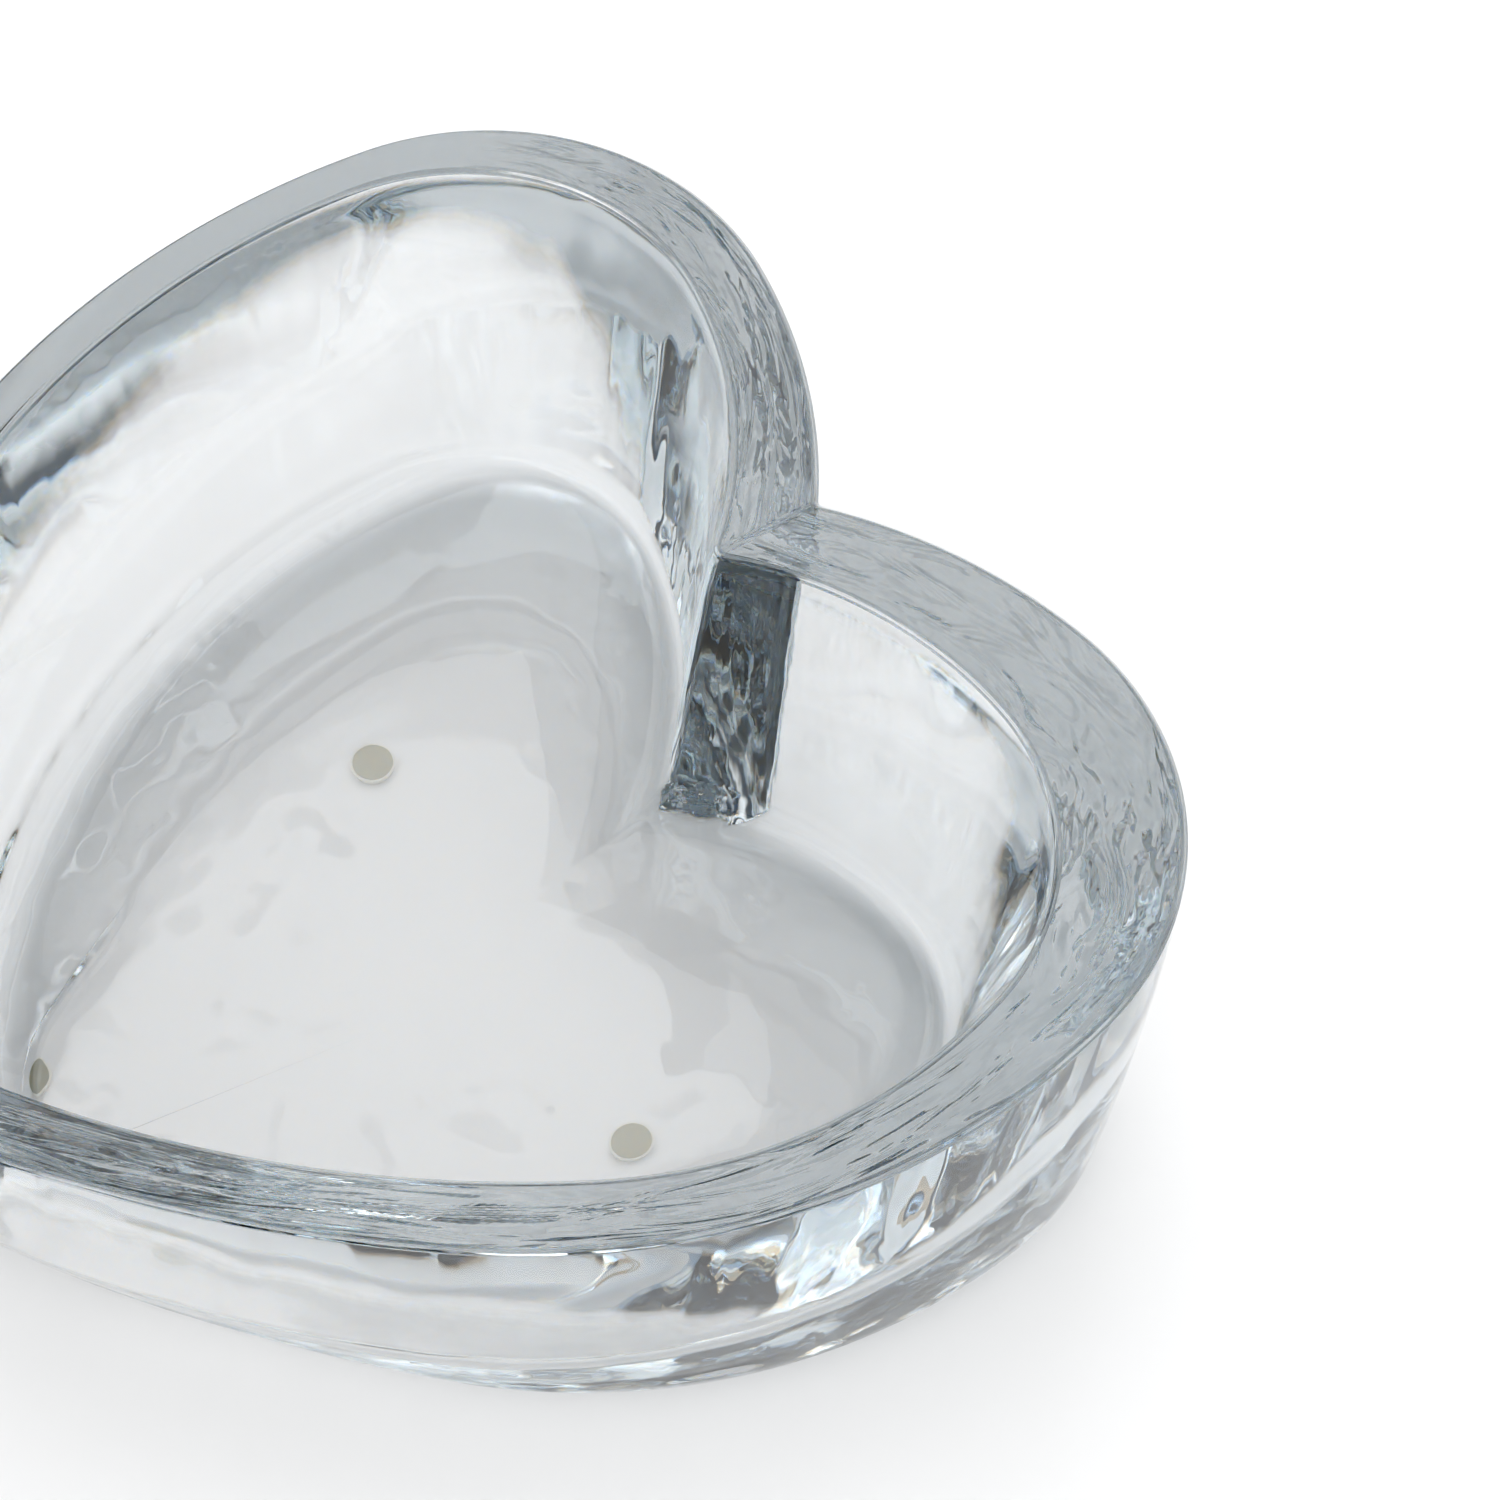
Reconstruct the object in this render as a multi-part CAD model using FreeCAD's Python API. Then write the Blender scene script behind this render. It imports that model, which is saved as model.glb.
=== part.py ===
import FreeCAD, Part
import math
import os

# Heart-shaped crystal bowl on four bumper feet. Millimetres, +Z up.
# Origin: middle of the footprint, on the table. The heart's tip points to -Y.

# Both outlines are chains of tangent arcs measured from the cleft's corner: along the heart
# towards the tip, and across it. A flank is (flank radius, its start and end angles in degrees,
# radius of the flatter run into the tip). The left flank is a little fuller than the right one.

# --- outside outline at the rim
outside = {
    "lobe": (30.7, 54.1, 51.8),                     # along, across, radius
    "cleft": (99.5, 190.0),                         # radius, and the angle where the lobe ends
    "right": (120.4, 103.0, 51.0, 262.0),
    "left": (146.7, 100.6, 42.7, 134.5),
}
cleft_round = 1.2
tip_round = 4.0
round_growth = 0.15             # both corners get rounder as the wall leans in

# --- outline of the hollow at the rim
hollow_top = {
    "lobe": (38.5, 53.0, 42.7),
    "cleft": (74.7, 185.5),
    "right": (85.2, 110.4, 62.7, 205.4),
    "left": (141.5, 93.1, 61.1, 136.8),
}
nose_round = 2.6                # soft ridge where the cleft pushes into the hollow
hollow_tip_round = 49.9

# --- outline of the flat floor of the hollow
hollow_floor = {
    "lobe": (71.0, 29.5, 18.0),
    "cleft": (62.0, 185.0),
    "right": (75.0, 95.0, 64.0, 300.0),
    "left": (75.0, 95.0, 64.0, 300.0),
}
floor_nose_round = 1.2
floor_tip_round = 26.0
hollow_turn = -4.5              # the hollow sits a little turned in the glass, degrees

# --- heights and wall profile
glass_height = 89.0
hollow_depth = 79.0
wall_lean = 17.2                # slope of the outside wall where the bottom corner starts
corner_radius = 12.0
lean_spread = (0.2, 1.1)        # how much of that lean the lobes and the tip have
base_turn = -4.5                # the base follows the hollow, so the wall twists on its way down
hollow_corner_depth = 21.0      # height of the curve from the wall into the floor
hollow_wall_share = 0.21        # how far the wall has moved towards the floor's outline there
tip_wall_extra = 1.1            # the wall leans in more towards the tip
bevel = 0.8                     # polished bevel on both edges of the rim

# --- bumper feet
foot_radius = 4.0
foot_contact_radius = 3.0
foot_height = 2.0
adhesive_radius = 3.6
adhesive_height = 0.2
foot_spots = {
    "left_lobe": (63.1, -47.1),
    "right_lobe": (68.1, 42.4),
    "left_tip": (146.0, -28.0),
    "right_tip": (134.0, 9.0),
}

middle_along = 82.6             # distance from the cleft's corner to the origin
base_z = foot_height + adhesive_height
rim_z = base_z + glass_height
arc_points = (4, 12, 22, 16, 12, 5) # nose, cleft, lobe, flank, run to the tip, tip


def arc(centre, radius, start, end, count):
    """Points on a circle arc without its last one, angles in radians."""
    points = []
    for i in range(count):
        angle = start + (end - start) * i / count
        points.append((centre[0] + radius * math.cos(angle), centre[1] + radius * math.sin(angle)))
    return points


def half_outline(heart, side, inset, nose, tip):
    """Half of a heart, from the cleft to the tip, moved inwards by inset.

    Each arc has the same number of points whatever the outline, so that outlines correspond.
    """
    along, across, lobe = heart["lobe"]
    cleft, turn = heart["cleft"]
    flank, start, end, tip_flank = heart[side]
    turn, start, end = math.radians(turn), math.radians(start), math.radians(end)

    def next_centre(c, r1, r2, angle):
        return (c[0] + (r1 - r2) * math.cos(angle), c[1] + (r1 - r2) * math.sin(angle))

    centre = (along, across)
    cleft_centre = next_centre(centre, lobe, cleft, turn)
    flank_centre = next_centre(centre, lobe, flank, start)
    tip_centre = next_centre(flank_centre, flank, tip_flank, end)
    counts = arc_points
    reach = math.sqrt((cleft - inset + nose) ** 2 - cleft_centre[1] ** 2)
    meet = math.atan2(cleft_centre[1], reach)
    points = arc((cleft_centre[0] - reach, 0.0), nose, 0.0, meet, counts[0])
    points += arc(cleft_centre, cleft - inset, math.pi + meet, turn, counts[1])
    points += arc(centre, lobe - inset, turn, start, counts[2])
    points += arc(flank_centre, flank - inset, start, end, counts[3])
    reach = math.sqrt((tip_flank - inset - tip) ** 2 - tip_centre[1] ** 2)
    meet = math.atan2(-tip_centre[1], reach)
    points += arc(tip_centre, tip_flank - inset, end, meet, counts[4])
    points += arc((tip_centre[0] + reach, 0.0), tip, meet, 0.0, counts[5])
    points.append((tip_centre[0] + reach + tip, 0.0))
    return points


def blend(first, second, shares):
    """Points between two corresponding outlines."""
    return [
        (a[0] + (b[0] - a[0]) * t, a[1] + (b[1] - a[1]) * t)
        for a, b, t in zip(first, second, shares)
    ]


def lean_shares(points):
    """0 over the cleft and most of the lobe, rising smoothly to 1 near the tip."""
    lengths = [0.0]
    for a, b in zip(points, points[1:]):
        lengths.append(lengths[-1] + math.dist(a, b))
    shares = []
    for length in lengths:
        t = min(max((length / lengths[-1] - 0.15) / 0.7, 0.0), 1.0)
        shares.append(t * t * (3 - 2 * t))
    return shares


def outside_half(side, lean, corner):
    """Outside outline moved in by the wall's lean and the corner: less at the lobes, more at the tip."""
    halves = []
    for share in lean_spread:
        move = lean * share + corner
        rounding = round_growth * max(move, 0.0)
        halves.append(half_outline(outside, side, move, cleft_round + rounding, tip_round + rounding))
    return blend(halves[0], halves[1], lean_shares(halves[0]))


def hollow_half(side, share, flat=0.0):
    """Outline of the hollow: share 0 is the one at the rim, share 1 is the flat floor's."""
    top = half_outline(hollow_top, side, flat, nose_round + flat, hollow_tip_round - flat)
    floor = half_outline(hollow_floor, side, 0.0, floor_nose_round, floor_tip_round)
    extra = tip_wall_extra * (1 - share)
    return blend(top, floor, [share * (1 + extra * t) for t in lean_shares(top)])


def section(halves, z, turn_degrees):
    """Closed wire of a whole heart at one height: one smooth curve for each side."""
    turn = math.radians(turn_degrees)
    tip = (halves[0][-1][0] + halves[1][-1][0]) / 2
    edges = []
    for side, half in enumerate(halves):
        line = []
        for along, across in half[:-1] + [(tip, 0.0)]:
            across = across * (1 - 2 * side)
            a = along * math.cos(turn) - across * math.sin(turn)
            b = along * math.sin(turn) + across * math.cos(turn)
            line.append(FreeCAD.Vector(b, middle_along - a, z))
        if side == 1:
            line.reverse()
        curve = Part.BSplineCurve()
        curve.interpolate(line)
        edges.append(curve.toShape())
    return Part.Wire(edges)


def outside_section(lean, corner, down):
    halves = [outside_half(side, lean, corner) for side in ("right", "left")]
    return section(halves, rim_z - down, base_turn * down / glass_height)


def hollow_section(share, down, flat=0.0):
    halves = [hollow_half(side, share, flat) for side in ("right", "left")]
    return section(halves, rim_z - down, hollow_turn)


def outside_profile():
    """Lean and corner insets against depth: a slow curve down the wall, then the bottom corner."""
    lean = math.radians(wall_lean)
    depth = glass_height - bevel
    wall_depth = depth - corner_radius * (1 - math.sin(lean))
    wall_radius = wall_depth / math.sin(lean)
    profile = []
    for i in range(9):
        angle = lean * i / 8
        inset = wall_radius * (1 - math.cos(angle))
        profile.append((inset, 0.0, wall_radius * math.sin(angle) + bevel))
    for i in range(1, 9):
        angle = lean + (math.pi / 2 - lean) * i / 8
        profile.append((
            inset,
            corner_radius * (math.cos(lean) - math.cos(angle)),
            wall_depth + corner_radius * (math.sin(angle) - math.sin(lean)) + bevel,
        ))
    return profile


def hollow_profile():
    """Share of the way to the floor's outline against depth: a wall, then a quarter ellipse."""
    wall_depth = hollow_depth - hollow_corner_depth
    profile = [(0.0, bevel)]
    for i in range(1, 8):
        down = bevel + (wall_depth - bevel) * i / 7
        profile.append((hollow_wall_share * (i / 7) ** 0.8, down))
    for i in range(1, 13):
        angle = math.pi / 2 * i / 12
        share = hollow_wall_share + (1 - hollow_wall_share) * (1 - math.cos(angle))
        profile.append((share, wall_depth + hollow_corner_depth * math.sin(angle)))
    return profile


body = Part.makeLoft([outside_section(*row) for row in outside_profile()], True, True)
rim = Part.makeLoft([outside_section(0.0, 0.0, bevel), outside_section(0.0, bevel, 0.0)], True, True)
cavity = Part.makeLoft([hollow_section(share, down) for share, down in hollow_profile()], True, True)
mouth = Part.makeLoft([hollow_section(0.0, bevel), hollow_section(0.0, 0.0, -bevel)], True, True)
bowl = body.fuse(rim).cut(cavity.fuse(mouth))

parts = {"bowl": bowl}

# Bumpers: a flat disc against the glass, rounding in to a smaller flat that touches the table.
for name, (along, across) in foot_spots.items():
    x, y = across, middle_along - along
    shoulder = foot_radius - foot_contact_radius
    profile = [
        Part.makeLine(FreeCAD.Vector(0, 0, 0), FreeCAD.Vector(foot_contact_radius, 0, 0)),
        Part.Arc(
            FreeCAD.Vector(foot_contact_radius, 0, 0),
            FreeCAD.Vector(foot_radius - shoulder * 0.3, 0, foot_height * 0.35),
            FreeCAD.Vector(foot_radius, 0, foot_height),
        ).toShape(),
        Part.makeLine(FreeCAD.Vector(foot_radius, 0, foot_height), FreeCAD.Vector(0, 0, foot_height)),
        Part.makeLine(FreeCAD.Vector(0, 0, foot_height), FreeCAD.Vector(0, 0, 0)),
    ]
    face = Part.Face(Part.Wire(profile))
    foot = face.revolve(FreeCAD.Vector(0, 0, 0), FreeCAD.Vector(0, 0, 1), 360)
    foot.translate(FreeCAD.Vector(x, y, 0))
    parts["foot_" + name] = foot
    disc = Part.makeCylinder(adhesive_radius, adhesive_height, FreeCAD.Vector(x, y, foot_height))
    parts["adhesive_" + name] = disc

os.makedirs("parts", exist_ok=True)
for name, shape in parts.items():
    if len(shape.Solids) == 1:
        shape = shape.Solids[0]
    box = shape.BoundBox
    print(name, shape.ShapeType, shape.isValid(), len(shape.Solids), round(shape.Volume, 1),
          [round(v, 2) for v in (box.XMin, box.XMax, box.YMin, box.YMax, box.ZMin, box.ZMax)])
    shape.exportStep(os.path.join("parts", name + ".step"))
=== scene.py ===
import math

import bpy
from mathutils import Matrix, Vector


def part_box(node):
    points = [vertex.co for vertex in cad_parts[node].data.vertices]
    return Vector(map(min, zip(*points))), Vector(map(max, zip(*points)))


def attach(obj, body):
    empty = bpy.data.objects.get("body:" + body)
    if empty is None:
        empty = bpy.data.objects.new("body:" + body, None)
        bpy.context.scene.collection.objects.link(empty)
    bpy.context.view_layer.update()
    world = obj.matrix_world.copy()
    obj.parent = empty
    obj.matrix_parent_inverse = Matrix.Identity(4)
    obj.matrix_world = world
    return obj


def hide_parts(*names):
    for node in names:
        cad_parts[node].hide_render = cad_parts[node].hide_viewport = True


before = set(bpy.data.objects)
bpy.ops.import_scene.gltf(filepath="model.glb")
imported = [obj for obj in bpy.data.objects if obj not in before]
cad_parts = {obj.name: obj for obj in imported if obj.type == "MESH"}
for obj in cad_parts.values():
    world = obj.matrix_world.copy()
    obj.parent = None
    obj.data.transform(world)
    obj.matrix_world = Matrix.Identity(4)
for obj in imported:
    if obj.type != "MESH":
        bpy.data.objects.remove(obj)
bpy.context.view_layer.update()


def linear(hexColor, alpha=1.0):
    # sRGB hex to the linear values that shaders take
    channels = []
    for i in (0, 2, 4):
        c = int(hexColor[i:i + 2], 16) / 255
        channels.append(c / 12.92 if c <= 0.04045 else ((c + 0.055) / 1.055) ** 2.4)
    return (*channels, alpha)


def addNode(tree, kind, settings=None, links=None, **inputs):
    # one node with its settings, input values by name and links by name or index
    node = tree.nodes.new(kind)
    for key, value in (settings or {}).items():
        setattr(node, key, value)
    for key, value in inputs.items():
        node.inputs[key.replace("_", " ")].default_value = value
    for key, socket in (links or {}).items():
        tree.links.new(socket, node.inputs[key])
    return node


def newMaterial(name):
    material = bpy.data.materials.new(name)
    material.use_nodes = True
    material.node_tree.nodes.clear()
    return material, material.node_tree


def millimetres(tree, stretch=(1, 1, 1)):
    # object coordinates in millimetres, so that pattern sizes read as real sizes
    place = addNode(tree, "ShaderNodeTexCoord")
    scaled = addNode(tree, "ShaderNodeVectorMath", {"operation": "MULTIPLY"},
                     {0: place.outputs["Object"]})
    scaled.inputs[1].default_value = [1000 * s for s in stretch]
    return scaled.outputs[0]


def meshPiece(name, points, faces, material):
    mesh = bpy.data.meshes.new(name)
    mesh.from_pydata(points, [], faces)
    mesh.update()
    mesh.shade_smooth()
    piece = bpy.data.objects.new(name, mesh)
    bpy.context.scene.collection.objects.link(piece)
    mesh.materials.append(material)
    return piece


# heart outlines: tangent arcs, in millimetres, measured from the cleft
outerHeart = {
    "lobe": (30.7, 54.1, 51.8),         # along, across, radius
    "cleft": (99.5, 190.0),             # radius, and the angle where the lobe ends
    "right": (120.4, 103.0, 51.0, 262.0),
    "left": (146.7, 100.6, 42.7, 134.5),
}
hollowHeart = {
    "lobe": (38.5, 53.0, 42.7),
    "cleft": (74.7, 185.5),
    "right": (85.2, 110.4, 62.7, 205.4),
    "left": (141.5, 93.1, 61.1, 136.8),
}
floorHeart = {
    "lobe": (71.0, 29.5, 18.0),
    "cleft": (62.0, 185.0),
    "right": (75.0, 95.0, 64.0, 300.0),
    "left": (75.0, 95.0, 64.0, 300.0),
}
arcCounts = (16, 56, 96, 72, 54, 24)    # nose, cleft, lobe, flank, run to the tip, tip
middleAlong = 82.6                      # from the cleft's corner to the object's origin


def arcPoints(centre, radius, start, end, count):
    step = (end - start) / count
    return [
        (centre[0] + radius * math.cos(start + step * i),
         centre[1] + radius * math.sin(start + step * i))
        for i in range(count)
    ]


def halfOutline(heart, side, inset, nose, tip):
    # half a heart from cleft to tip; every outline has the same number of points on each arc
    along, across, lobe = heart["lobe"]
    cleft, turn = heart["cleft"]
    flank, start, end, tipFlank = heart[side]
    turn, start, end = math.radians(turn), math.radians(start), math.radians(end)

    def nextCentre(c, r1, r2, angle):
        return (c[0] + (r1 - r2) * math.cos(angle), c[1] + (r1 - r2) * math.sin(angle))

    centre = (along, across)
    cleftCentre = nextCentre(centre, lobe, cleft, turn)
    flankCentre = nextCentre(centre, lobe, flank, start)
    tipCentre = nextCentre(flankCentre, flank, tipFlank, end)
    reach = math.sqrt((cleft - inset + nose) ** 2 - cleftCentre[1] ** 2)
    meet = math.atan2(cleftCentre[1], reach)
    points = arcPoints((cleftCentre[0] - reach, 0.0), nose, 0.0, meet, arcCounts[0])
    points += arcPoints(cleftCentre, cleft - inset, math.pi + meet, turn, arcCounts[1])
    points += arcPoints(centre, lobe - inset, turn, start, arcCounts[2])
    points += arcPoints(flankCentre, flank - inset, start, end, arcCounts[3])
    reach = math.sqrt((tipFlank - inset - tip) ** 2 - tipCentre[1] ** 2)
    meet = math.atan2(-tipCentre[1], reach)
    points += arcPoints(tipCentre, tipFlank - inset, end, meet, arcCounts[4])
    points += arcPoints((tipCentre[0] + reach, 0.0), tip, meet, 0.0, arcCounts[5])
    points.append((tipCentre[0] + reach + tip, 0.0))
    return points


def between(first, second, shares):
    return [
        (a[0] + (b[0] - a[0]) * t, a[1] + (b[1] - a[1]) * t)
        for a, b, t in zip(first, second, shares)
    ]


def tipShares(points):
    # 0 over the cleft and most of the lobe, rising smoothly to 1 near the tip
    lengths = [0.0]
    for a, b in zip(points, points[1:]):
        lengths.append(lengths[-1] + math.dist(a, b))
    shares = []
    for length in lengths:
        t = min(max((length / lengths[-1] - 0.15) / 0.7, 0.0), 1.0)
        shares.append(t * t * (3 - 2 * t))
    return shares


def wholeRing(halves, turnDegrees):
    # closed ring (x, y) in metres: right side from cleft to tip, then back up the left side
    turn = math.radians(turnDegrees)
    tip = (halves[0][-1][0] + halves[1][-1][0]) / 2
    line = list(halves[0][:-1]) + [(tip, 0.0)]
    line += [(a, -b) for a, b in reversed(halves[1][1:-1])]
    ring = []
    for a, b in line:
        x = a * math.sin(turn) + b * math.cos(turn)
        y = middleAlong - (a * math.cos(turn) - b * math.sin(turn))
        ring.append((x / 1000, y / 1000))
    return ring


bowlValues = {
    "glassHeight": 89.0,        # mm
    "hollowDepth": 79.0,
    "baseHeight": 2.2,          # underside of the glass above the table
    "wallLean": 17.2,           # degrees
    "cornerRadius": 12.0,
    "leanSpread": (0.2, 1.1),   # share of that lean at the lobes and at the tip
    "baseTurn": -4.5,           # degrees, the base is turned with the hollow
    "cornerRounds": (1.2, 4.0, 0.15),   # outside at cleft and tip, and growth with the lean
    "hollowTurn": -4.5,
    "hollowRounds": (2.6, 49.9),        # nose and tip of the hollow at the rim
    "floorRounds": (1.2, 26.0),         # and at the floor
    "hollowCornerDepth": 21.0,
    "hollowWallShare": 0.21,
    "tipWallExtra": 1.1,
    "bevel": 0.8,
    "edgeSoftness": 0.12,       # how round the polished edges are
    "floorMiddle": (0.0, -0.004),       # metres
    "glassTint": "f3f5f6",
    "tintPerMetre": 38.0,
    # warm light bends a little less than cool light: linear colour and refractive index of each
    "dispersion": (((0.62, 0.5, 0.36, 1), 1.508), ((0.38, 0.5, 0.64, 1), 1.532)),
    # the waves are shading heights in mm, larger than real relief so that they show
    "slowWave": 0.25,
    "drawnWave": 0.06,          # upright waves
    "ridgeStreak": 0.12,
    "ridgeMiddle": (0.0, 62.0, 60.0),   # mm
    "ridgeReach": (52.0, 30.0),         # mm from there, none to full
    "outsideWave": 0.9,
    "wavyTowards": (0.575, 0.818, 0.0), # direction in which the outside gets wavy
    "wavyFrom": (5.0, 30.0),            # mm in that direction, none to full
    "flankWavyFrom": (0.0, 30.0),       # mm to the right, none to full
    "cornerWave": 1.2,
    "cornerHeights": (22.0, 12.0),      # mm above the table, none to full
    "cornerEnds": (12.0, 0.0),          # mm towards the tip, none to full
    "rimSwirl": 1.6,
    "rimHeights": (90.7, 91.15),        # mm above the table, none to full
    "swirlRepeats": (640.0 / 22, 150.0, 0.0),   # round the outline, and across the rim
}


def outsideProfile(v):
    # lean, corner inset and depth from the bevel down: a slow curve, then the bottom corner
    lean = math.radians(v["wallLean"])
    corner = v["cornerRadius"]
    wallDepth = v["glassHeight"] - v["bevel"] - corner * (1 - math.sin(lean))
    wallRadius = wallDepth / math.sin(lean)
    profile = []
    for i in range(25):
        angle = lean * i / 24
        inset = wallRadius * (1 - math.cos(angle))
        profile.append((inset, 0.0, wallRadius * math.sin(angle) + v["bevel"]))
    for i in range(1, 15):
        angle = lean + (math.pi / 2 - lean) * i / 14
        profile.append((
            inset,
            corner * (math.cos(lean) - math.cos(angle)),
            wallDepth + corner * (math.sin(angle) - math.sin(lean)) + v["bevel"],
        ))
    return profile


def hollowProfile(v):
    # share of the way to the floor's outline and depth: a wall, then a quarter ellipse
    wallDepth = v["hollowDepth"] - v["hollowCornerDepth"]
    profile = []
    for i in range(1, 21):
        profile.append((v["hollowWallShare"] * (i / 20) ** 0.8,
                        v["bevel"] + (wallDepth - v["bevel"]) * i / 20))
    for i in range(1, 27):
        angle = math.pi / 2 * i / 26
        share = v["hollowWallShare"] + (1 - v["hollowWallShare"]) * (1 - math.cos(angle))
        profile.append((share, wallDepth + v["hollowCornerDepth"] * math.sin(angle)))
    return profile


def bowlRings(v):
    # rings from the middle of the underside, up the outside, over the rim and down the hollow
    rimZ = v["baseHeight"] + v["glassHeight"]

    def outer(inset, corner, down, flat=0.0):
        nose, tip, growth = v["cornerRounds"]
        halves = []
        for side in ("right", "left"):
            ends = []
            for share in v["leanSpread"]:
                move = inset * share + corner + flat
                more = growth * max(move, 0.0)
                ends.append(halfOutline(outerHeart, side, move, nose + more, tip + more))
            halves.append(between(ends[0], ends[1], tipShares(ends[0])))
        return wholeRing(halves, v["baseTurn"] * down / v["glassHeight"]), rimZ - down

    def hollow(share, down, flat=0.0):
        nose, tip = v["hollowRounds"]
        extra = v["tipWallExtra"] * (1 - share)
        halves = []
        for side in ("right", "left"):
            top = halfOutline(hollowHeart, side, flat, nose + flat, tip - flat)
            floor = halfOutline(floorHeart, side, 0.0, *v["floorRounds"])
            halves.append(between(top, floor, [share * (1 + extra * t) for t in tipShares(top)]))
        return wholeRing(halves, v["hollowTurn"]), rimZ - down

    bevel, soft = v["bevel"], v["edgeSoftness"]
    outside = outsideProfile(v)
    rings = [outer(*outside[-1], 3.0), outer(*outside[-1], 0.6)]
    rings += [outer(*row) for row in reversed(outside[1:])]
    rings += [
        outer(0.0, 0.0, bevel + soft * 3),
        outer(0.0, 0.0, bevel + soft),
        outer(0.0, soft * 0.7, bevel - soft * 0.7),
        outer(0.0, bevel - soft * 0.7, soft * 0.7),
        outer(0.0, bevel + soft, 0.0),
        outer(0.0, bevel + soft * 4, 0.0),
        hollow(0.0, 0.0, -bevel - soft * 4),
        hollow(0.0, 0.0, -bevel - soft),
        hollow(0.0, soft * 0.7, -bevel + soft * 0.7),
        hollow(0.0, bevel - soft * 0.7, -soft * 0.7),
        hollow(0.0, bevel + soft),
        hollow(0.0, bevel + soft * 3),
    ]
    rings += [hollow(share, down) for share, down in hollowProfile(v)]
    return rings, len(outside) + 8


def buildBowl(v, material):
    rings, rimRings = bowlRings(v)
    size = len(rings[0][0])
    points = []
    faces = []

    def addRing(ring, z):
        points.extend((x, y, z / 1000) for x, y in ring)
        return len(points) - size

    def shrunk(ring, share):
        middle = v["floorMiddle"]
        return [
            (middle[0] + (x - middle[0]) * share, middle[1] + (y - middle[1]) * share)
            for x, y in ring
        ]

    # the flat underside and the flat floor are rings that shrink towards one point
    shares = (0.12, 0.3, 0.5, 0.7, 0.86, 0.95)
    stack = [(shrunk(rings[0][0], share), rings[0][1]) for share in shares]
    stack += rings
    stack += [(shrunk(rings[-1][0], share), rings[-1][1]) for share in reversed(shares)]
    starts = [addRing(ring, z) for ring, z in stack]
    # u runs once round the heart, v is 0 to 1 up the outside and 1 to 2 over the rim and down
    rim = len(shares) + rimRings
    heights = [k / rim if k <= rim else 1 + (k - rim) / (len(stack) - rim) for k in range(len(stack))]
    corners = []
    for k, (a, b) in enumerate(zip(starts, starts[1:])):
        for i in range(size):
            j = (i + 1) % size
            faces.append((a + i, b + i, b + j, a + j))
            u, w = i / size, (i + 1) / size
            corners += [u, heights[k], u, heights[k + 1], w, heights[k + 1], w, heights[k]]
    for start, z, under in ((starts[0], stack[0][1], True), (starts[-1], stack[-1][1], False)):
        points.append((*v["floorMiddle"], z / 1000))
        centre = len(points) - 1
        for i in range(size):
            j = (i + 1) % size
            faces.append((centre, start + i, start + j) if under else (centre, start + j, start + i))
            corners += [0.5, 0.0 if under else 2.0] * 3
    bowl = meshPiece("bowl_glass", points, faces, material)
    bowl.data.uv_layers.new(name="UVMap").data.foreach_set("uv", corners)
    return bowl


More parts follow.
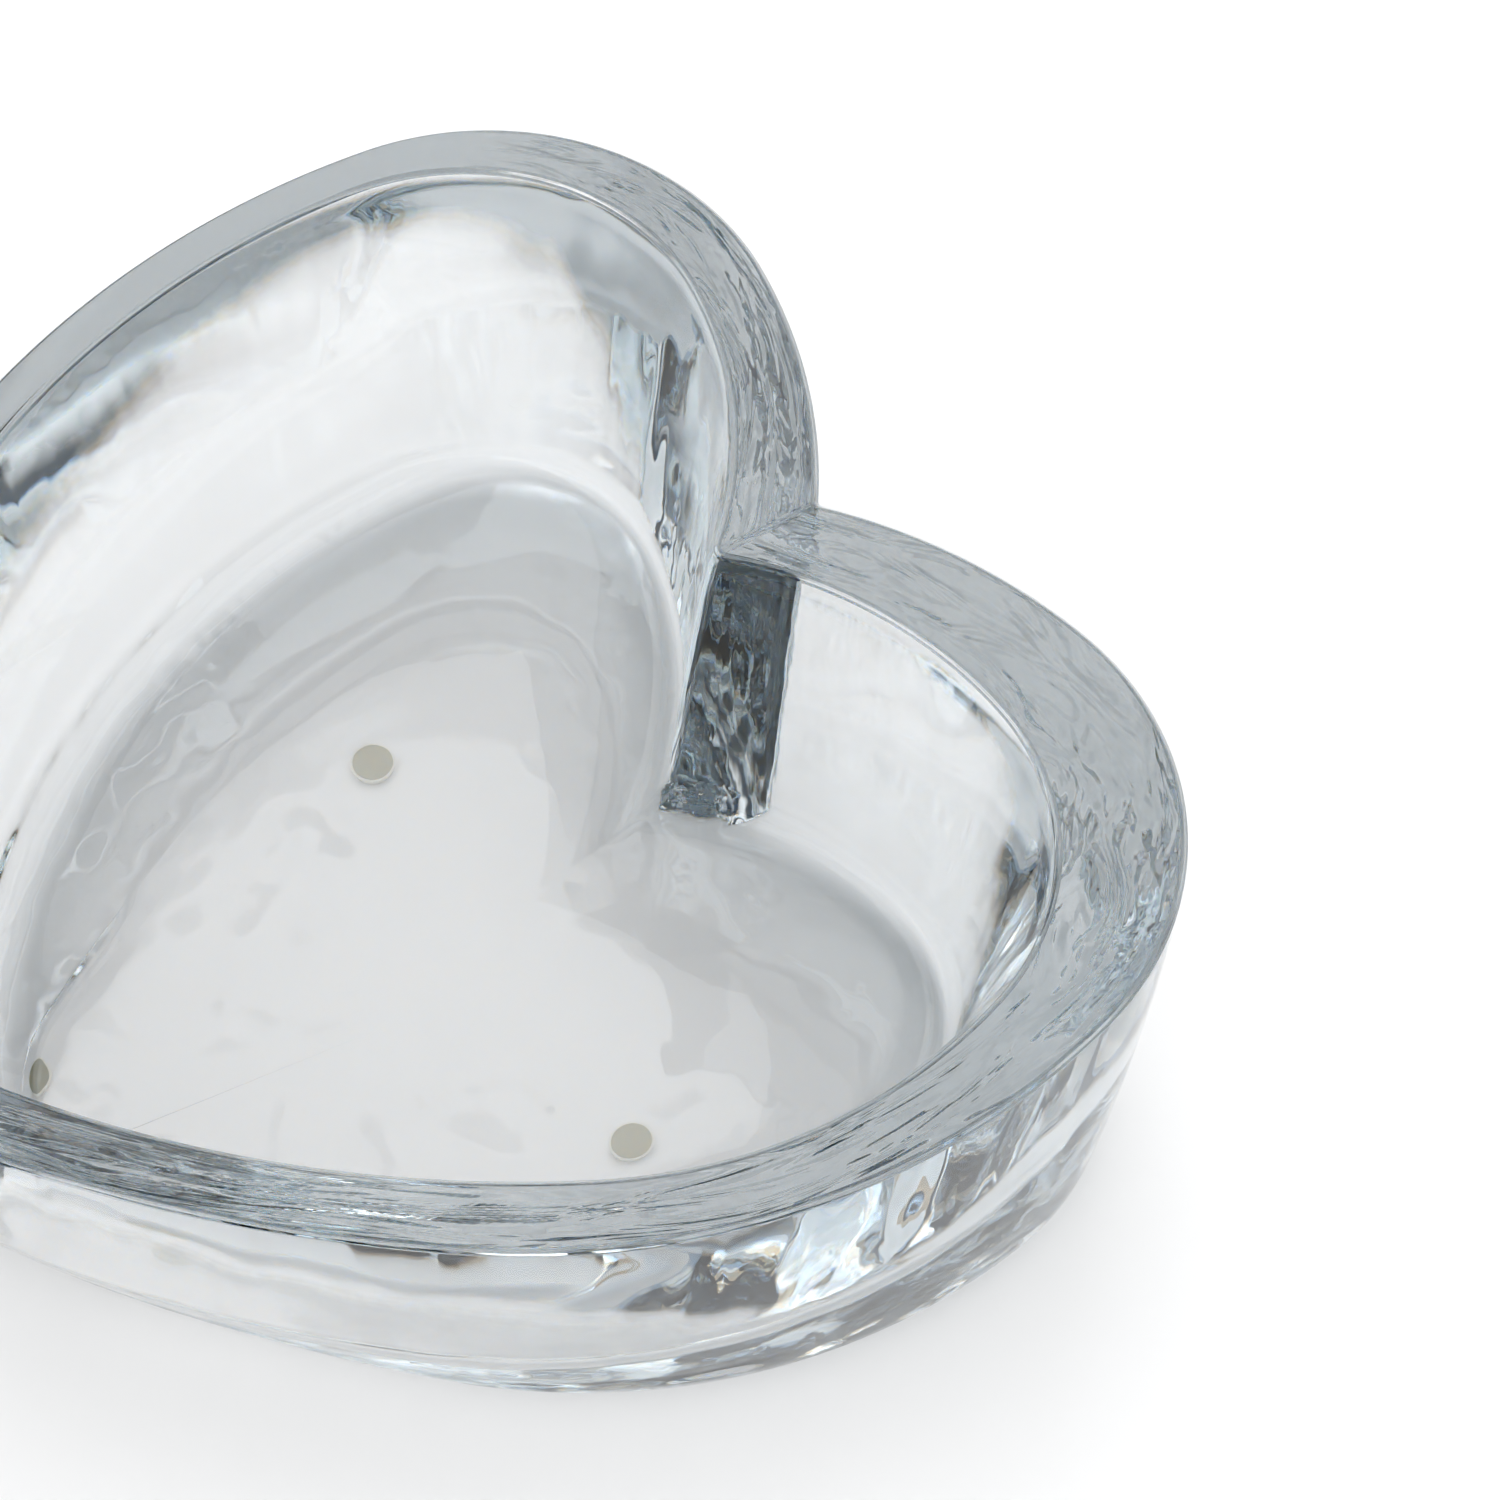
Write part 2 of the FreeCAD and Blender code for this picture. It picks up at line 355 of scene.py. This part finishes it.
def crystalGlass(v):
    # lead-free pressed crystal: clear, greyer and cooler in its thickest parts, with slow waves
    # that make refractions wander, swirls on the rim, and a little dispersion. The tint and the
    # waves are stronger than in real crystal, so that they show under a plain soft light
    material, tree = newMaterial("pressed_crystal_glass")
    place = millimetres(tree)
    tall = millimetres(tree, (1.0, 1.0, 0.16))
    slow = addNode(tree, "ShaderNodeTexNoise", {}, {"Vector": place}, Scale=1 / 34, Detail=1.0)
    drawn = addNode(tree, "ShaderNodeTexNoise", {}, {"Vector": tall}, Scale=1 / 7, Detail=1.5)
    split = addNode(tree, "ShaderNodeSeparateXYZ", {}, {0: place})
    around = addNode(tree, "ShaderNodeUVMap", {"uv_map": "UVMap"})
    alongWall = addNode(tree, "ShaderNodeSeparateXYZ", {}, {0: around.outputs[0]})

    def fade(value, zero, one):
        # 0 at one value and 1 at another, smoothly
        node = addNode(tree, "ShaderNodeMapRange", {"interpolation_type": "SMOOTHSTEP"}, {0: value})
        node.inputs[1].default_value, node.inputs[2].default_value = zero, one
        return node.outputs[0]

    def combine(operation, first, second):
        node = addNode(tree, "ShaderNodeMath", {"operation": operation}, {0: first, 1: second})
        return node.outputs[0]

    # upright streaks, strongest down the ridge
    fromRidge = addNode(tree, "ShaderNodeVectorMath", {"operation": "DISTANCE"}, {0: place})
    fromRidge.inputs[1].default_value = v["ridgeMiddle"]
    streak = addNode(tree, "ShaderNodeTexNoise", {}, {"Vector": tall}, Scale=1 / 3.2, Detail=2.0)
    streakHere = combine("MULTIPLY", streak.outputs[0], fade(fromRidge.outputs["Value"], *v["ridgeReach"]))
    # the outside is waviest round the cleft side of both lobes and along the right flank
    lean = addNode(tree, "ShaderNodeVectorMath", {"operation": "DOT_PRODUCT"}, {0: place})
    lean.inputs[1].default_value = v["wavyTowards"]
    wavySide = combine("MAXIMUM", fade(lean.outputs["Value"], *v["wavyFrom"]),
                       fade(split.outputs["X"], *v["flankWavyFrom"]))
    onOutside = fade(alongWall.outputs["Y"], 1.0, 0.97)
    waves = addNode(tree, "ShaderNodeTexNoise", {},
                    {"Vector": millimetres(tree, (1.0, 1.0, 0.3))}, Scale=1 / 16, Detail=1.0)
    wavesHere = combine("MULTIPLY", waves.outputs[0], combine("MULTIPLY", wavySide, onOutside))
    atCorner = combine("MULTIPLY", fade(split.outputs["Z"], *v["cornerHeights"]), onOutside)
    leftEnd = combine("MULTIPLY", fade(split.outputs["Y"], *v["cornerEnds"]), atCorner)
    cornerWaves = addNode(tree, "ShaderNodeTexNoise", {}, {"Vector": place}, Scale=1 / 14, Detail=1.0)
    cornerHere = combine("MULTIPLY", cornerWaves.outputs[0], leftEnd)
    # long swirls run with the outline on the ground and polished rim
    atRim = fade(split.outputs["Z"], *v["rimHeights"])
    swirlPlace = addNode(tree, "ShaderNodeVectorMath", {"operation": "MULTIPLY"}, {0: around.outputs[0]})
    swirlPlace.inputs[1].default_value = v["swirlRepeats"]
    swirl = addNode(tree, "ShaderNodeTexNoise", {}, {"Vector": swirlPlace.outputs[0]}, Scale=1.0,
                    Detail=2.0, Distortion=1.2)
    swirlHere = combine("MULTIPLY", swirl.outputs[0], combine("MULTIPLY", atRim, wavySide))
    bump = None
    for height, size in ((slow.outputs[0], v["slowWave"]),
                         (drawn.outputs[0], v["drawnWave"]),
                         (streakHere, v["ridgeStreak"]),
                         (wavesHere, v["outsideWave"]),
                         (cornerHere, v["cornerWave"]),
                         (swirlHere, v["rimSwirl"])):
        node = addNode(tree, "ShaderNodeBump", {}, {"Height": height}, Strength=1.0,
                       Distance=size / 1000)
        if bump:
            tree.links.new(bump.outputs[0], node.inputs["Normal"])
        bump = node
    shader = None
    for color, ior in v["dispersion"]:
        glass = addNode(tree, "ShaderNodeBsdfGlass", {}, {"Normal": bump.outputs[0]},
                        Color=color, Roughness=0.0, IOR=ior)
        if shader is None:
            shader = glass
        else:
            shader = addNode(tree, "ShaderNodeAddShader", {},
                             {0: shader.outputs[0], 1: glass.outputs[0]})
    depth = addNode(tree, "ShaderNodeVolumeAbsorption", Color=linear(v["glassTint"]),
                    Density=v["tintPerMetre"])
    addNode(tree, "ShaderNodeOutputMaterial", {},
            {"Surface": shader.outputs[0], "Volume": depth.outputs[0]})
    return material


bowl = buildBowl(bowlValues, crystalGlass(bowlValues))
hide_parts("bowl")
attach(bowl, "root")
print("bowl built:", len(bowl.data.polygons), "faces")


footValues = {
    "radius": 4.0,              # mm
    "contactRadius": 3.0,
    "height": 2.0,
    "segments": 96,
    "color": "efedde",
    "roughness": 0.28,
}
adhesiveValues = {
    "radius": 3.6,              # mm
    "height": 0.2,
    "gap": 0.02,                # thin film of air where the adhesive hasn't wetted the glass
    "segments": 96,
    "color": "e6e4d2",
}


def lathePiece(name, profile, centre, segments, material):
    # profile is (radius, height) from the axis underneath, round the outside, to the axis on top
    points = [(centre[0], centre[1], profile[0][1] / 1000)]
    faces = []
    for radius, height in profile[1:-1]:
        for i in range(segments):
            angle = 2 * math.pi * i / segments
            points.append((
                centre[0] + radius * math.cos(angle) / 1000,
                centre[1] + radius * math.sin(angle) / 1000,
                height / 1000,
            ))
    points.append((centre[0], centre[1], profile[-1][1] / 1000))
    rings = len(profile) - 2
    for i in range(segments):
        j = (i + 1) % segments
        faces.append((0, 1 + j, 1 + i))
        for k in range(rings - 1):
            a, b = 1 + k * segments, 1 + (k + 1) * segments
            faces.append((a + i, a + j, b + j, b + i))
        a = 1 + (rings - 1) * segments
        faces.append((a + i, a + j, len(points) - 1))
    return meshPiece(name, points, faces, material)


def footProfile(v):
    # flat contact patch, soft shoulder, steep side and a thin moulded lip at the top
    radius, contact, height = v["radius"], v["contactRadius"], v["height"]
    profile = [(0, 0), (contact * 0.5, 0.0), (contact - 0.25, 0.0), (contact, 0.04)]
    for i in range(1, 9):
        angle = math.pi / 2 * i / 8
        profile.append((
            contact + (radius - 0.12 - contact) * math.sin(angle),
            0.04 + (height - 0.3) * (1 - math.cos(angle)),
        ))
    profile += [(radius - 0.1, height - 0.22), (radius - 0.02, height - 0.14),
                (radius, height - 0.08), (radius - 0.02, height - 0.02),
                (radius - 0.08, height), (radius - 0.4, height), (radius * 0.5, height), (0, height)]
    return profile


def adhesiveProfile(v, z):
    radius, top = v["radius"], z + v["height"] - v["gap"]
    z += v["gap"] / 2
    return [(0, z), (radius * 0.5, z), (radius - 0.1, z), (radius - 0.03, z + 0.01),
            (radius, z + 0.04), (radius, top - 0.04), (radius - 0.03, top - 0.01),
            (radius - 0.1, top), (radius * 0.5, top), (0, top)]


def bumperPlastic(v):
    # clear polyurethane that has aged a little yellow, with a cloudy middle
    material, tree = newMaterial("polyurethane_bumper")
    place = millimetres(tree)
    cloud = addNode(tree, "ShaderNodeTexNoise", {}, {"Vector": place}, Scale=1 / 2.2, Detail=3.0)
    grain = addNode(tree, "ShaderNodeTexNoise", {}, {"Vector": place}, Scale=1 / 0.25, Detail=2.0)
    color = addNode(tree, "ShaderNodeMix", {"data_type": "RGBA"}, {0: cloud.outputs[0]})
    color.inputs[6].default_value = linear(v["color"])
    color.inputs[7].default_value = linear("fbfaf2")
    bump = addNode(tree, "ShaderNodeBump", {}, {"Height": grain.outputs[0]}, Strength=0.4,
                   Distance=0.00003)
    shader = addNode(tree, "ShaderNodeBsdfPrincipled", {},
                     {"Base Color": color.outputs[2], "Normal": bump.outputs[0]},
                     Roughness=v["roughness"], IOR=1.5)
    shader.inputs["Transmission Weight"].default_value = 0.15
    addNode(tree, "ShaderNodeOutputMaterial", {}, {"Surface": shader.outputs[0]})
    return material


def acrylicAdhesive(v):
    # clear acrylic film, slightly milky with tiny trapped bubbles
    material, tree = newMaterial("acrylic_adhesive")
    place = millimetres(tree)
    bubbles = addNode(tree, "ShaderNodeTexVoronoi", {}, {"Vector": place}, Scale=1 / 0.6)
    edge = addNode(tree, "ShaderNodeMapRange", {}, {0: bubbles.outputs["Distance"]})
    edge.inputs[1].default_value = 0.08
    edge.inputs[2].default_value = 0.16
    color = addNode(tree, "ShaderNodeMix", {"data_type": "RGBA"}, {0: edge.outputs[0]})
    color.inputs[6].default_value = linear("f7f6ee")
    color.inputs[7].default_value = linear(v["color"])
    shader = addNode(tree, "ShaderNodeBsdfPrincipled", {}, {"Base Color": color.outputs[2]},
                     Roughness=0.2, IOR=1.48)
    shader.inputs["Transmission Weight"].default_value = 0.92
    addNode(tree, "ShaderNodeOutputMaterial", {}, {"Surface": shader.outputs[0]})
    return material


bumperMaterial = bumperPlastic(footValues)
adhesiveMaterial = acrylicAdhesive(adhesiveValues)
for spot in ("left_lobe", "right_lobe", "left_tip", "right_tip"):
    low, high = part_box("foot_" + spot)
    centre = ((low.x + high.x) / 2, (low.y + high.y) / 2)
    foot = lathePiece("bumper_" + spot, footProfile(footValues), centre,
                      footValues["segments"], bumperMaterial)
    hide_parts("foot_" + spot)
    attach(foot, "root")
    film = lathePiece("film_" + spot, adhesiveProfile(adhesiveValues, footValues["height"]),
                      centre, adhesiveValues["segments"], adhesiveMaterial)
    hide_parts("adhesive_" + spot)
    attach(film, "root")
print("feet built")


stageValues = {
    "floorSize": 6.0,           # metres
    "floorColor": "f4f4f4",
    "domeLight": 1.45,
    "keyPower": 3.5,            # watts
    "keySize": 0.9,
}


def buildFloor(v):
    half = v["floorSize"] / 2
    material, tree = newMaterial("studio_floor")
    # pale matt paper with a trace of grain
    place = millimetres(tree)
    grain = addNode(tree, "ShaderNodeTexNoise", {}, {"Vector": place}, Scale=1 / 0.8, Detail=2.0)
    bump = addNode(tree, "ShaderNodeBump", {}, {"Height": grain.outputs[0]}, Strength=0.1,
                   Distance=0.00001)
    shader = addNode(tree, "ShaderNodeBsdfDiffuse", {}, {"Normal": bump.outputs[0]},
                     Color=linear(v["floorColor"]))
    addNode(tree, "ShaderNodeOutputMaterial", {}, {"Surface": shader.outputs[0]})
    corners = [(-half, -half, 0), (half, -half, 0), (half, half, 0), (-half, half, 0)]
    floor = meshPiece("floor", corners, [(0, 1, 2, 3)], material)
    return floor


def buildLight(v):
    # white soft dome above, darker room low down all round, so that clear glass gets dark edges
    world = bpy.data.worlds.new("studio")
    bpy.context.scene.world = world
    world.use_nodes = True
    tree = world.node_tree
    tree.nodes.clear()
    place = addNode(tree, "ShaderNodeTexCoord")
    split = addNode(tree, "ShaderNodeSeparateXYZ", {}, {0: place.outputs["Generated"]})
    ramp = addNode(tree, "ShaderNodeValToRGB", {}, {0: split.outputs["Z"]})
    stops = ramp.color_ramp.elements
    stops[0].position, stops[0].color = 0.0, linear("2c333b")
    stops[1].position, stops[1].color = 0.30, linear("39424c")
    third = stops.new(0.5)
    third.color = linear("ffffff")
    sky = addNode(tree, "ShaderNodeBackground", {}, {"Color": ramp.outputs[0]},
                  Strength=v["domeLight"])
    addNode(tree, "ShaderNodeOutputWorld", {}, {"Surface": sky.outputs[0]})
    data = bpy.data.lights.new("key", "AREA")
    data.energy = v["keyPower"]
    data.size = v["keySize"]
    key = bpy.data.objects.new("key", data)
    key.location = (-0.7, 0.5, 1.2)
    aim = Vector((0, 0, 0.03)) - key.location
    key.rotation_euler = aim.to_track_quat("-Z", "Y").to_euler()
    bpy.context.scene.collection.objects.link(key)


def buildCamera():
    data = bpy.data.cameras.new("camera")
    data.lens = 120.0
    data.sensor_width = 36.0
    camera = bpy.data.objects.new("camera", data)
    forward = Vector((-0.4299, 0.3022, -0.8508)).normalized()
    right = Vector((0.575, 0.818, 0.0)).normalized()
    up = right.cross(forward).normalized()
    right = forward.cross(up)
    place = Vector((0.3743, -0.1943, 0.7675))
    camera.matrix_world = Matrix((
        (right.x, up.x, -forward.x, place.x),
        (right.y, up.y, -forward.y, place.y),
        (right.z, up.z, -forward.z, place.z),
        (0, 0, 0, 1),
    ))
    bpy.context.scene.collection.objects.link(camera)
    bpy.context.scene.camera = camera


buildFloor(stageValues)
buildLight(stageValues)
buildCamera()
scene = bpy.context.scene
scene.view_settings.view_transform = "Standard"
scene.cycles.max_bounces = 20
scene.cycles.transmission_bounces = 18
scene.cycles.glossy_bounces = 12
print("stage built")
